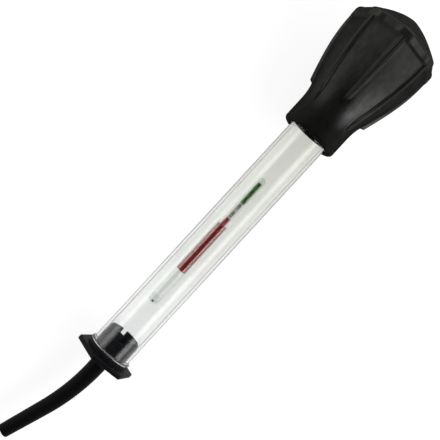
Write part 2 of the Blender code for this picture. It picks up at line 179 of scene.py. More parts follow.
# Facets round the pieces and steps along their sections
BARREL_FACETS = 128
STEPS_PER_SECTOR = 16
STOPPER_FACETS = 96
NOZZLE_FACETS = 40
FLOAT_FACETS = 64
SHOT_FACETS = 32
ARC_STEPS = 6
DOME_STEPS = 10
RIB_LENGTH_STEPS = 18
FLARE_STEPS = 8
CAVITY_STEPS = 8
BEND_STEPS = 14
TAIL_STEPS = 4
FLOAT_END_STEPS = 10
SHOT_STEPS = 16
CARD_STEPS = 68
NUMBER_CUTS = 8

# Where the pieces lie
SLIDE = next(joint for joint in frame["joints"] if joint["name"] == "float_slide")
REST = next(mount for mount in frame["record"]["mounts"] if mount["name"] == "rest_flat")
AXIS = Vector(SLIDE["axis"])
DOWN = Vector(REST["axis"])
SIDE = AXIS.cross(DOWN)
FOOT = Vector(REST["pos_m"]) - (DOWN * FLANGE_APOTHEM + AXIS * FLANGE_MIDDLE) * MM
FLOAT_FOOT = FOOT + (DOWN * FLOAT_DROP + AXIS * FLOAT_LIFT) * MM

# Where the camera stands: over the barrel, a little to the nozzle's side, distances in millimetres
CAMERA_TILT = math.radians(15.0)
CAMERA_DISTANCE = 325.0
CAMERA_ASIDE = 4.0
CAMERA_LENS = 53.2
TARGET_HEIGHT = 85.2
VIEW = SIDE * math.sin(CAMERA_TILT) - DOWN * math.cos(CAMERA_TILT)
ACROSS = SIDE * math.cos(CAMERA_TILT) + DOWN * math.sin(CAMERA_TILT)
TARGET = FOOT + AXIS * TARGET_HEIGHT * MM

# How far the barrel's axis runs to the right and up in the picture
AXIS_RIGHT = 0.6775
AXIS_UP = 0.7355

# The turn about the axis at which a piece faces the camera
FACING_TURN = math.pi - CAMERA_TILT

# Studio light: the lamps' distance in metres, and how bright walls and ceiling are as light
LAMP_DISTANCE = 1.2
WALL_LIGHT = 0.25
CEILING_LIGHT = 0.03
FLOOR_LIFT = 0.88

# A colour Mix node's sockets, by number because its sockets for plain values have the same names
MIX_SHARE = 0
MIX_FIRST = 6
MIX_SECOND = 7
MIX_RESULT = 2


def laid(foot):
    """The matrix that takes a drawing in millimetres to its place on the table."""
    turn = Matrix((DOWN, SIDE, AXIS)).transposed().to_4x4()
    return Matrix.Translation(foot) @ turn @ Matrix.Scale(MM, 4)


def evenly(start, end, steps):
    """Values from start to end in equal steps."""
    return [start + (end - start) * i / steps for i in range(steps + 1)]


def bow(centre_r, centre_z, radius, start, end, steps):
    """Points on an arc of a section, angles in degrees from outward."""
    angles = [math.radians(angle) for angle in evenly(start, end, steps)]
    return [(centre_r + radius * math.cos(a), centre_z + radius * math.sin(a)) for a in angles]


def start_point(name, place):
    """Begin a drawing: a plane merged to one vertex, moved to its place. Leaves edit mode on."""
    bpy.ops.object.select_all(action="DESELECT")
    bpy.ops.mesh.primitive_plane_add(size=1)
    piece = bpy.context.object
    piece.name = name
    bpy.ops.object.mode_set(mode="EDIT")
    bpy.ops.mesh.select_mode(type="VERT")
    bpy.ops.mesh.merge(type="CENTER")
    bpy.ops.transform.translate(value=place)
    return piece


def turned(name, section, facets):
    """Draw half a section as (radius, height) points and spin it about the axis. Leaves edit mode on."""
    piece = start_point(name, (section[0][0], 0, section[0][1]))
    for (r0, z0), (r1, z1) in zip(section, section[1:]):
        bpy.ops.mesh.extrude_region_move(TRANSFORM_OT_translate={"value": (r1 - r0, 0, z1 - z0)})
    bpy.ops.mesh.select_all(action="SELECT")
    bpy.ops.mesh.spin(steps=facets, angle=math.tau, center=(0, 0, 0), axis=(0, 0, 1))
    bpy.ops.mesh.select_all(action="SELECT")
    bpy.ops.mesh.remove_doubles(threshold=MERGE_DISTANCE)
    bpy.ops.mesh.normals_make_consistent(inside=False)
    return piece


def pick_edges(piece, test):
    """Select in edit mode every edge that the test accepts, given the edge's two end points."""
    mesh = bmesh.from_edit_mesh(piece.data)
    bpy.ops.mesh.select_mode(type="EDGE")
    bpy.ops.mesh.select_all(action="DESELECT")
    for edge in mesh.edges:
        edge.select_set(test(*[vertex.co for vertex in edge.verts]))
    bmesh.update_edit_mesh(piece.data)


def round_rings(piece, spots, offset, segments=3):
    """Bevel the turned edges that run round at these (radius, height) spots."""
    def at(spot, place):
        return abs(math.hypot(place.x, place.y) - spot[0]) < NEAR and abs(place.z - spot[1]) < NEAR

    pick_edges(piece, lambda a, b: any(at(spot, a) and at(spot, b) for spot in spots))
    bpy.ops.mesh.bevel(offset=offset, segments=segments, affect="EDGES")


def apply_modifier(piece, kind, **settings):
    """Give a piece a modifier with these settings and apply it."""
    bpy.context.view_layer.objects.active = piece
    modifier = piece.modifiers.new(kind.lower(), kind)
    for name, value in settings.items():
        setattr(modifier, name, value)
    bpy.ops.object.modifier_apply(modifier=modifier.name)


def lay_piece(piece, material, body, foot=FOOT, smooth=35):
    """Lay the drawn piece down on its body and give it its material."""
    if bpy.context.mode != "OBJECT":
        bpy.ops.object.mode_set(mode="OBJECT")
    bpy.ops.object.select_all(action="DESELECT")
    piece.select_set(True)
    bpy.context.view_layer.objects.active = piece
    piece.matrix_world = laid(foot)
    bpy.ops.object.transform_apply(location=True, rotation=True, scale=True)
    bpy.ops.object.shade_smooth_by_angle(angle=math.radians(smooth))
    piece.data.materials.clear()
    piece.data.materials.append(material)
    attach(piece, body)


def make_barrel(material):
    """Clear tube whose lower end flares out to a thin lip."""
    cove_reach = RIM_RADIUS - BARREL_RADIUS
    cove = [(RIM_RADIUS - cove_reach * math.cos(a), RIM_TOP - (RIM_TOP - RIM_LIP) * math.sin(a))
            for a in reversed(evenly(0, math.pi / 2, ARC_STEPS))]
    section = [(BORE_RADIUS, 0), (RIM_RADIUS, 0)] + cove
    section += [(BARREL_RADIUS, BARREL_TOP), (BORE_RADIUS, BARREL_TOP), (BORE_RADIUS, 0)]
    barrel = turned("barrel_tube", section, BARREL_FACETS)
    round_rings(barrel, [(RIM_RADIUS, 0), (RIM_RADIUS, RIM_LIP)], RIM_ROUND)
    ends = [(BARREL_RADIUS, BARREL_TOP), (BORE_RADIUS, BARREL_TOP), (BORE_RADIUS, 0)]
    round_rings(barrel, ends, BARREL_END_ROUND)
    lay_piece(barrel, material, "barrel", smooth=60)
    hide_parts("barrel")
    barrel.visible_shadow = False


def within(share):
    """A share kept between nought and one."""
    return min(max(share, 0.0), 1.0)


def smooth_step(share):
    """A share from nought to one that starts and ends gently."""
    share = within(share)
    return share * share * (3 - 2 * share)


def along_ribs(z):
    """How far up the ribs a height is, from nought at the neck to one at the shoulder."""
    return within((z - RIB_START) / (RIB_END - RIB_START))


def crest(z):
    """Radius of the ribs' crest line at a height: a quarter sine from the neck to the shoulder."""
    return RIB_START_RADIUS + (RIB_END_RADIUS - RIB_START_RADIUS) * math.sin(along_ribs(z) * math.pi / 2)


def cavity(z):
    """Radius of the bulb's hollow at a height."""
    return crest(z) - RIB_HEIGHT - BULB_WALL


def on_outside(radius, z):
    """Whether a vertex at this radius and height is on the bulb's outer side."""
    return radius > crest(z) - RIB_HEIGHT - BULB_WALL / 2


def dome_points(edge_radius, edge_height, height):
    """Half section of a dome between a cone and a paraboloid, from its apex down to its edge."""
    return [(edge_radius * share, edge_height + height * (1 - share ** DOME_POWER))
            for share in evenly(0, 1, DOME_STEPS)]


def bulb_section():
    """The bulb's half section: dome, shoulder, ribs' crest, neck and lip outside, then the cavity inside."""
    round_centre = SHOULDER_RADIUS - SHOULDER_ROUND
    dome_slope = math.degrees(math.atan(DOME_POWER * DOME_HEIGHT / round_centre))
    shoulder = bow(round_centre, SHOULDER_END, SHOULDER_ROUND, 90 - dome_slope, 0, ARC_STEPS)
    edge_radius, edge_height = shoulder[0]
    dome = dome_points(edge_radius, edge_height, DOME_HEIGHT)
    ribs = [(crest(z), z) for z in evenly(RIB_END, RIB_START + RIB_STEP, RIB_LENGTH_STEPS)]
    flare_reach = RIB_START_RADIUS - RIB_HEIGHT - NECK_RADIUS
    flare = [(NECK_RADIUS + flare_reach * share ** FLARE_POWER, FLARE_START + FLARE_LENGTH * share)
             for share in evenly(1, 0, FLARE_STEPS)]
    lip = bow(NECK_RADIUS - LIP_ROUND, MOUTH + LIP_ROUND, LIP_ROUND, 0, -90, ARC_STEPS)
    bore = [(NECK_BORE_RADIUS + MOUTH_CHAMFER, MOUTH), (NECK_BORE_RADIUS, MOUTH + MOUTH_CHAMFER),
            (NECK_BORE_RADIUS, NECK_BORE_END)]
    inside = [(cavity(z), z) for z in evenly(NECK_BORE_END + CAVITY_LEAD, RIB_END, CAVITY_STEPS)]
    inner_height = edge_height + DOME_HEIGHT - BULB_WALL - SHOULDER_END
    inner_dome = dome_points(cavity(RIB_END), SHOULDER_END, inner_height)[::-1]
    outside = dome[:-1] + shoulder + [(SHOULDER_RADIUS, SHOULDER_START)] + ribs + flare + lip
    return outside + bore + inside + inner_dome


def nearest_rib(place):
    """The turn of the nearest rib, and how far this place is turned away from it."""
    turn = math.atan2(place.y, place.x)
    rib_turn = round(turn / RIB_SECTOR) * RIB_SECTOR
    return rib_turn, turn - rib_turn


def runs_out(rib_turn):
    """Whether a rib runs out slowly along the neck's flare, as every second one does."""
    return round(rib_turn / RIB_SECTOR) % 2 == 1


def gathered(away):
    """Crowd the even steps at a rib: one at its crest's edge, one at its foot, the rest on the panel."""
    step = RIB_SECTOR / STEPS_PER_SECTOR
    if away < step:
        return RIB_CREST_EDGE * away / step
    if away < 2 * step:
        return RIB_CREST_EDGE + (RIB_FOOT - RIB_CREST_EDGE) * (away / step - 1)
    half = RIB_SECTOR / 2
    return RIB_FOOT + (half - RIB_FOOT) * (away - 2 * step) / (half - 2 * step)


def shape_bulb_vertex(vertex, rub):
    """Sink a turned vertex into its panel, flatten the panel, and mark where hands rub the rubber.

    Every second rib runs out slowly along the neck's flare; the others begin bluntly above it.
    """
    height = vertex.co.z
    radius = math.hypot(vertex.co.x, vertex.co.y)
    if radius < NEAR:
        return
    rib_turn, away = nearest_rib(vertex.co)
    from_rib = gathered(abs(away))
    outside = on_outside(radius, height)
    above_neck = height > RIB_START + NEAR_HEIGHT
    on_ribs = outside and above_neck and height < RIB_END + NEAR_HEIGHT
    on_flare = height > FLARE_START + NEAR_HEIGHT and radius > NECK_RADIUS
    on_crest = on_ribs and from_rib < RIB_CREST_EDGE + NEAR_TURN
    on_shoulder = outside and SHOULDER_START < height < SHOULDER_END + SHOULDER_ROUND
    vertex[rub] = 1.0 if on_crest or on_shoulder else 0.0
    down_flank = within((from_rib - RIB_CREST_EDGE) / (RIB_FOOT - RIB_CREST_EDGE))
    if on_ribs:
        radius -= (RIB_HEIGHT + (RIB_END_HEIGHT - RIB_HEIGHT) * along_ribs(height)) * down_flank
    elif on_flare and not above_neck and runs_out(rib_turn):
        radius += RIB_HEIGHT * (1 - down_flank) * (height - FLARE_START) / FLARE_LENGTH
    if from_rib > RIB_FOOT and (above_neck or on_flare):
        along = min((height - FLARE_START) / (RIB_END - FLARE_START), 1.0)
        flatness = min(radius / cavity(RIB_END), 1.0) * math.sqrt(along)
        if outside and height > SHOULDER_START - NEAR_HEIGHT:
            flatness *= smooth_step((from_rib - RIB_FOOT) / CORNER_SPREAD)
        chord = math.cos(RIB_SECTOR / 2 - RIB_FOOT) / math.cos(RIB_SECTOR / 2 - from_rib)
        radius *= 1 - flatness * (1 - chord)
    turn = rib_turn + math.copysign(from_rib, away)
    vertex.co = (radius * math.cos(turn), radius * math.sin(turn), height)


def on_moulded_edge(place):
    """Whether a place is on a rib's crest edge or foot, or on the step where a panel meets the shoulder."""
    if not on_outside(math.hypot(place.x, place.y), place.z):
        return False
    rib_turn, away = nearest_rib(place)
    from_rib = abs(away)
    on_line = min(abs(from_rib - RIB_CREST_EDGE), abs(from_rib - RIB_FOOT)) < NEAR_TURN
    on_panel_end = from_rib > RIB_FOOT - NEAR_TURN and abs(place.z - RIB_END) < NEAR
    on_shoulder_edge = abs(place.z - SHOULDER_START) < NEAR
    line_start = FLARE_START + RUN_OUT_LEAD if runs_out(rib_turn) else RIB_START + NEAR_HEIGHT
    return on_panel_end or on_shoulder_edge or (on_line and line_start < place.z < RIB_END + NEAR_HEIGHT)


def make_bulb(material):
    """Moulded bulb: eight narrow ribs stand proud of flattened, sunken panels between neck and shoulder."""
    bulb = turned("squeeze_bulb_skin", bulb_section(), RIB_COUNT * STEPS_PER_SECTOR)
    mesh = bmesh.from_edit_mesh(bulb.data)
    rub = mesh.verts.layers.float.new("rub")
    for vertex in mesh.verts:
        shape_bulb_vertex(vertex, rub)
    bmesh.update_edit_mesh(bulb.data)
    pick_edges(bulb, lambda a, b: on_moulded_edge(a) and on_moulded_edge(b))
    bpy.ops.mesh.bevel(offset=RIB_ROUND, segments=2, affect="EDGES")
    bpy.ops.mesh.select_all(action="SELECT")
    bpy.ops.transform.rotate(value=-RIB_PHASE, orient_axis="Z", center_override=(0, 0, 0))
    lay_piece(bulb, material, "bulb", smooth=40)
    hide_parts("squeeze_bulb")


def cut_with(piece, tool, operation="DIFFERENCE"):
    """Join or cut with a tool drawn for it, and throw the tool away."""
    bpy.ops.object.transform_apply(location=True, rotation=True, scale=True)
    apply_modifier(piece, "BOOLEAN", operation=operation, object=tool, solver="EXACT")
    bpy.data.objects.remove(tool)


def make_stopper(material):
    """Plug with a hollow, slotted crown, a collar and a hexagonal flange, in one rubber moulding."""
    bore = NOZZLE_ROOT_RADIUS - NOZZLE_WALL
    section = [(bore, SOCKET_TOP), (SOCKET_RADIUS, SOCKET_TOP), (SOCKET_RADIUS, FLANGE_MIDDLE),
               (COLLAR_RADIUS, FLANGE_MIDDLE), (COLLAR_RADIUS, COLLAR_TOP), (PLUG_RADIUS, COLLAR_TOP),
               (CROWN_RADIUS, CROWN_TOP), (CROWN_BORE, CROWN_TOP), (CROWN_BORE, CROWN_FLOOR),
               (bore, CROWN_FLOOR), (bore, SOCKET_TOP)]
    stopper = turned("stopper_moulding", section, STOPPER_FACETS)
    round_rings(stopper, [(COLLAR_RADIUS, COLLAR_TOP)], COLLAR_ROUND)
    round_rings(stopper, [(CROWN_RADIUS, CROWN_TOP)], CROWN_ROUND, segments=4)
    round_rings(stopper, [(CROWN_BORE, CROWN_TOP)], CROWN_BORE_ROUND)
    bpy.ops.object.mode_set(mode="OBJECT")

    bpy.ops.object.select_all(action="DESELECT")
    bpy.ops.mesh.primitive_cylinder_add(vertices=6, radius=FLANGE_APOTHEM / math.cos(math.pi / 6),
                                        depth=FLANGE_TOP - FLANGE_BOTTOM, location=(0, 0, FLANGE_MIDDLE))
    flange = bpy.context.object
    bpy.ops.object.mode_set(mode="EDIT")
    bpy.ops.mesh.select_all(action="SELECT")
    bpy.ops.mesh.bevel(offset=FLANGE_ROUND, segments=3, affect="EDGES")
    bpy.ops.object.mode_set(mode="OBJECT")
    cut_with(stopper, flange, "UNION")

    bpy.ops.object.select_all(action="DESELECT")
    depth = SOCKET_TOP - FLANGE_BOTTOM + SOCKET_CUT_PAST
    bpy.ops.mesh.primitive_cylinder_add(vertices=STOPPER_FACETS, radius=SOCKET_RADIUS, depth=depth,
                                        location=(0, 0, SOCKET_TOP - depth / 2 - SOCKET_CUT_SHORT))
    cut_with(stopper, bpy.context.object)

    for turn in (SLOT_PHASE, SLOT_PHASE + math.pi / 2):
        bpy.ops.object.select_all(action="DESELECT")
        bpy.ops.mesh.primitive_cube_add(size=1, location=(0, 0, CROWN_TOP), rotation=(0, 0, turn),
                                        scale=(SLOT_CUT_LENGTH, SLOT_WIDTH, 2 * SLOT_DEPTH))
        cut_with(stopper, bpy.context.object)
    bpy.ops.object.mode_set(mode="EDIT")
    bpy.ops.mesh.select_all(action="SELECT")
    bpy.ops.mesh.remove_doubles(threshold=SLIVER_WIDTH)
    bpy.ops.mesh.dissolve_degenerate(threshold=SLIVER_WIDTH)
    bpy.ops.mesh.normals_make_consistent(inside=False)
    lay_piece(stopper, material, "stopper", smooth=40)
    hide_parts("stopper")


def make_nozzle(material):
    """Tapered spout: a ring drawn out of the socket, turned step by step round the bend, then straight."""
    bpy.ops.object.select_all(action="DESELECT")
    bpy.ops.mesh.primitive_circle_add(vertices=NOZZLE_FACETS, radius=NOZZLE_ROOT_RADIUS,
                                      location=(0, 0, NOZZLE_START))
    nozzle = bpy.context.object
    nozzle.name = "nozzle_spout"
    bpy.ops.object.transform_apply(location=True, rotation=True, scale=True)
    bpy.ops.object.mode_set(mode="EDIT")
    bpy.ops.mesh.select_all(action="SELECT")
    steps = [(NOZZLE_START - FLANGE_BOTTOM, 0), (NOZZLE_STRAIGHT, 0)]
    steps += [(BEND_RADIUS * BEND_ANGLE / BEND_STEPS, BEND_ANGLE / BEND_STEPS)] * BEND_STEPS
    steps += [(NOZZLE_TAIL / TAIL_STEPS, 0)] * TAIL_STEPS
    total = sum(length for length, _ in steps)
    tip = Vector((0, 0, NOZZLE_START))
    heading = 0.0
    travelled = 0.0
    radius = NOZZLE_ROOT_RADIUS
    for length, turn in steps:
        heading += turn / 2
        move = Vector((0, math.sin(heading), -math.cos(heading))) * length
        heading += turn / 2
        tip += move
        travelled += length
        bpy.ops.mesh.extrude_region_move(TRANSFORM_OT_translate={"value": move})
        if turn:
            bpy.ops.transform.rotate(value=-turn, orient_axis="X", center_override=tip)
        new_radius = NOZZLE_ROOT_RADIUS + (NOZZLE_TIP_RADIUS - NOZZLE_ROOT_RADIUS) * travelled / total
        bpy.ops.transform.resize(value=(new_radius / radius,) * 3, center_override=tip)
        radius = new_radius
    bpy.ops.mesh.select_all(action="SELECT")
    bpy.ops.mesh.normals_make_consistent(inside=False)
    bpy.ops.object.mode_set(mode="OBJECT")
    apply_modifier(nozzle, "SOLIDIFY", thickness=NOZZLE_WALL, offset=-1.0)
    bpy.ops.object.mode_set(mode="EDIT")
    tip_rings = ((NOZZLE_TIP_RADIUS, NOZZLE_TIP_ROUND), (NOZZLE_TIP_RADIUS - NOZZLE_WALL, NOZZLE_BORE_ROUND))
    for ring, rounding in tip_rings:
        pick_edges(nozzle, lambda a, b: all(abs((end - tip).length - ring) < NEAR_RING for end in (a, b)))
        bpy.ops.mesh.bevel(offset=rounding, segments=3, affect="EDGES")
    lay_piece(nozzle, material, "stopper", smooth=40)
    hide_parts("nozzle")


def make_float_envelope(material):
    """Clear shell of the float: round tip, straight body, sloped shoulder and an open stem."""
    shell = bow(0, FLOAT_RADIUS, FLOAT_RADIUS, -90, 0, FLOAT_END_STEPS)
    shell += [(FLOAT_RADIUS, BODY_TOP), (STEM_RADIUS, STEM_START), (STEM_RADIUS, STEM_TOP),
              (STEM_BORE, STEM_TOP), (STEM_BORE, STEM_START), (FLOAT_BORE, BODY_TOP)]
    shell += bow(0, FLOAT_RADIUS, FLOAT_BORE, 0, -90, FLOAT_END_STEPS)
    envelope = turned("float_glass_shell", shell, FLOAT_FACETS)
    shoulder_rings = [(FLOAT_RADIUS, BODY_TOP), (STEM_RADIUS, STEM_START),
                      (FLOAT_BORE, BODY_TOP), (STEM_BORE, STEM_START)]
    round_rings(envelope, shoulder_rings, FLOAT_SHOULDER_ROUND)
    lay_piece(envelope, material, "float", FLOAT_FOOT, smooth=60)
    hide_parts("float_envelope")
    envelope.visible_shadow = False


def make_float_tip(material):
    """Bead that seals the stem: a low dome on a spigot."""
    spigot = STEM_BORE - SEAT_GAP
    head_start = STEM_TOP + SEAT_GAP
    head = dome_points(STEM_RADIUS, head_start, SEAL_HEAD)
    foot = [(spigot, head_start), (spigot, SEAL_START), (0, SEAL_START)]
    seal = turned("float_sealed_tip", head + foot, FLOAT_FACETS)
    round_rings(seal, [(spigot, SEAL_START)], SEAL_ROUND)
    lay_piece(seal, material, "float", FLOAT_FOOT)
    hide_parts("float_tip_seal")
    seal.visible_shadow = False


def rolled_card(name, radius, start, end):
    """A strip of card rolled once round, its end lapped under its start."""
    outer_radius = radius - CARD_THICKNESS / 2
    shrink = ((radius - CARD_TUCK) / outer_radius) ** (1 / CARD_STEPS)
    card = start_point(name, (outer_radius, 0, start))
    bpy.ops.mesh.extrude_region_move(TRANSFORM_OT_translate={"value": (0, 0, end - start)})
    bpy.ops.mesh.select_all(action="SELECT")
    for _ in range(CARD_STEPS):
        bpy.ops.mesh.extrude_region_move()
        bpy.ops.transform.rotate(value=CARD_TURN / CARD_STEPS, orient_axis="Z", center_override=(0, 0, 0))
        bpy.ops.transform.resize(value=(shrink, shrink, 1), center_override=(0, 0, 0))
    bpy.ops.object.mode_set(mode="OBJECT")
    apply_modifier(card, "SOLIDIFY", thickness=CARD_THICKNESS, offset=0.0)
    return card


def make_body_card(material):
    """Red card that fills the upper half of the float's body."""
    card = rolled_card("float_red_card", CARD_RADIUS, CARD_START, BODY_TOP - SEAT_GAP)
    lay_piece(card, material, "float", FLOAT_FOOT)
    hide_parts("float_body_card")


def make_stem_scale(material):
    """Banded scale in the float's stem."""
    card = rolled_card("float_printed_scale", SCALE_RADIUS, SCALE_START, SCALE_END)
    lay_piece(card, material, "float", FLOAT_FOOT)
    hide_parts("float_stem_scale")


def printed_number(text, height, radius, size, boldness):
    """A plain number cut from ink film, bent round a card and read along the float."""
    bpy.ops.object.select_all(action="DESELECT")
    bpy.ops.object.text_add(location=(0, 0, 0))
    number = bpy.context.object
    number.data.body = text
    number.data.size = size
    number.data.resolution_u = 3
    number.data.offset = boldness
    number.data.align_x = "CENTER"
    number.data.align_y = "CENTER"
    bpy.ops.object.convert(target="MESH")
    number = bpy.context.object
    bpy.ops.object.mode_set(mode="EDIT")
    for cut in evenly(-0.4 * size, 0.4 * size, NUMBER_CUTS):
        bpy.ops.mesh.select_all(action="SELECT")
        bpy.ops.mesh.bisect(plane_co=(0, cut, 0), plane_no=(0, 1, 0))
    bpy.ops.mesh.select_all(action="SELECT")
    bpy.ops.mesh.remove_doubles(threshold=MERGE_DISTANCE)
    bpy.ops.mesh.extrude_region_move(TRANSFORM_OT_translate={"value": (0, 0, INK_THICKNESS)})
    bpy.ops.mesh.select_all(action="SELECT")
    bpy.ops.mesh.normals_make_consistent(inside=False)
    mesh = bmesh.from_edit_mesh(number.data)
    for vertex in mesh.verts:
        along, across, proud = vertex.co
        turn = FACING_TURN - across / radius
        ink = radius + INK_GAP + proud
        vertex.co = (ink * math.cos(turn), ink * math.sin(turn), height + along)
    bmesh.update_edit_mesh(number.data)
    bpy.ops.object.mode_set(mode="OBJECT")
    return number


def make_scale_numbers(material):
    """Plain density numbers along the red card and the stem's scale."""
    body_heights = evenly(BODY_NUMBERS_START, BODY_NUMBERS_END, len(BODY_NUMBERS) - 1)
    numbers = [printed_number(text, height, CARD_RADIUS, size=2.4, boldness=0.05)
               for text, height in zip(BODY_NUMBERS, body_heights)]
    numbers += [printed_number(text, height, SCALE_RADIUS, size=2.0, boldness=0.07)
                for text, height in STEM_NUMBERS]
    bpy.ops.object.select_all(action="DESELECT")
    for number in numbers:
        number.select_set(True)
    bpy.context.view_layer.objects.active = numbers[0]
    bpy.ops.object.join()
    numbers[0].name = "float_scale_numbers"
    lay_piece(numbers[0], material, "float", FLOAT_FOOT)


def make_shot(material):
    """The ball that weights the float's tip."""
    shot = turned("float_shot", bow(0, SHOT_HEIGHT, SHOT_RADIUS, 90, -90, SHOT_STEPS), SHOT_FACETS)
    lay_piece(shot, material, "float", FLOAT_FOOT, smooth=60)
    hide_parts("ballast_shot")


def make_resin(material):
    """Clear filling that holds the shot: flat on top, round below, hollowed over the shot."""
    radius = FLOAT_BORE - SEAT_GAP
    foot_angle = math.degrees(math.asin((FLOAT_RADIUS - SHOT_HEIGHT) / radius))
    filling = [(0, RESIN_TOP), (radius, RESIN_TOP)]
    filling += bow(0, FLOAT_RADIUS, radius, 0, -foot_angle, ARC_STEPS)
    filling += bow(0, SHOT_HEIGHT, SHOT_RADIUS + SEAT_GAP, 0, 90, ARC_STEPS)
    plug = turned("float_resin", filling, FLOAT_FACETS)
    lay_piece(plug, material, "float", FLOAT_FOOT)
    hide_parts("ballast_resin")
    plug.visible_shadow = False


def linear(code):
    """A colour socket's value for an sRGB hex code."""
    channels = [int(code[i:i + 2], 16) / 255 for i in (1, 3, 5)]
    return (*[c / 12.92 if c <= 0.04045 else ((c + 0.055) / 1.055) ** 2.4 for c in channels], 1.0)


def add_node(owner, kind, inputs=None, **settings):
    """Add a shader node with its settings; an input takes a value or another node's output."""
    node = owner.node_tree.nodes.new("ShaderNode" + kind)
    for name, value in settings.items():
        setattr(node, name, value)
    for name, value in (inputs or {}).items():
        if isinstance(value, bpy.types.NodeSocket):
            owner.node_tree.links.new(value, node.inputs[name])
        else:
            node.inputs[name].default_value = value
    return node


def wire(owner, output, shader, socket):
    """Link a node's output to one socket of the shader."""
    owner.node_tree.links.new(output, shader.inputs[socket])


def new_material(name, **inputs):
    """A material with one Principled shader and its plain values set."""
    material = bpy.data.materials.new(name)
    material.use_nodes = True
    shader = material.node_tree.nodes["Principled BSDF"]
    for socket, value in inputs.items():
        shader.inputs[socket.replace("_", " ")].default_value = value
    return material, shader


def drawing_place(material, foot, stretch=1.0):
    """A texture's place in the drawing, in millimetres; a stretch draws the pattern out lengthwise."""
    spot = add_node(material, "TexCoord")
    place = add_node(material, "Mapping", {
        "Vector": spot.outputs["Object"], "Location": foot, "Rotation": laid(foot).to_euler(),
        "Scale": (MM, MM, MM * stretch)}, vector_type="TEXTURE")
    return place.outputs["Vector"]


def vary_finish(material, shader, colour, roughness, relief=None):
    """Vary a surface by patterns: each finish names its pattern and then its values at nought and at one.

    Relief names its pattern, its strength and its depth in millimetres.
    """
    pattern, first, second = colour
    tone = add_node(material, "Mix", {MIX_SHARE: pattern, MIX_FIRST: linear(first),
                                      MIX_SECOND: linear(second)}, data_type="RGBA")
    wire(material, tone.outputs[MIX_RESULT], shader, "Base Color")
    pattern, low, high = roughness
    matt = add_node(material, "MapRange", {"Value": pattern, "To Min": low, "To Max": high})
    wire(material, matt.outputs[0], shader, "Roughness")
    if relief:
        pattern, strength, depth = relief
        bump = add_node(material, "Bump", {"Strength": strength, "Distance": depth * MM, "Height": pattern})
        wire(material, bump.outputs[0], shader, "Normal")


def polish_bulb(material, shader, spot, wipes, facing):
    """Satin polish on the bulb: strongest where a thumb grips the flare, none on the neck, broken into wipes.

    Fine relief hides it where the eye looks along the skin.
    """
    height = spot.outputs["Z"]
    thumb = add_node(material, "MapRange", {"Value": spot.outputs["Y"], "From Min": 6.0, "From Max": 0.0},
                     interpolation_type="SMOOTHSTEP")
    reach = add_node(material, "MapRange", {"Value": height, "From Min": 166.0, "From Max": 187.0,
                                            "To Min": 1.0, "To Max": 0.0}, interpolation_type="SMOOTHSTEP")
    grip = add_node(material, "Math", {0: thumb.outputs[0], 1: reach.outputs[0]}, operation="MULTIPLY")
    grip = add_node(material, "Math", {0: grip.outputs[0], 1: 0.68, 2: 0.32}, operation="MULTIPLY_ADD")
    above_neck = add_node(material, "MapRange", {"Value": height, "From Min": 153.0, "From Max": 166.0},
                          interpolation_type="SMOOTHSTEP")
    grip = add_node(material, "Math", {0: grip.outputs[0], 1: above_neck.outputs[0]}, operation="MULTIPLY")
    polish = add_node(material, "MapRange", {"Value": wipes, "From Min": 0.35, "From Max": 0.6,
                                             "To Min": 0.7, "To Max": 1.0})
    polish = add_node(material, "Math", {0: grip.outputs[0], 1: polish.outputs[0]}, operation="MULTIPLY")
    polish = add_node(material, "MapRange", {"Value": facing, "From Min": 0.25, "From Max": 0.6,
                                             "To Min": polish.outputs[0], "To Max": 0.0})
    wire(material, polish.outputs[0], shader, "Coat Weight")


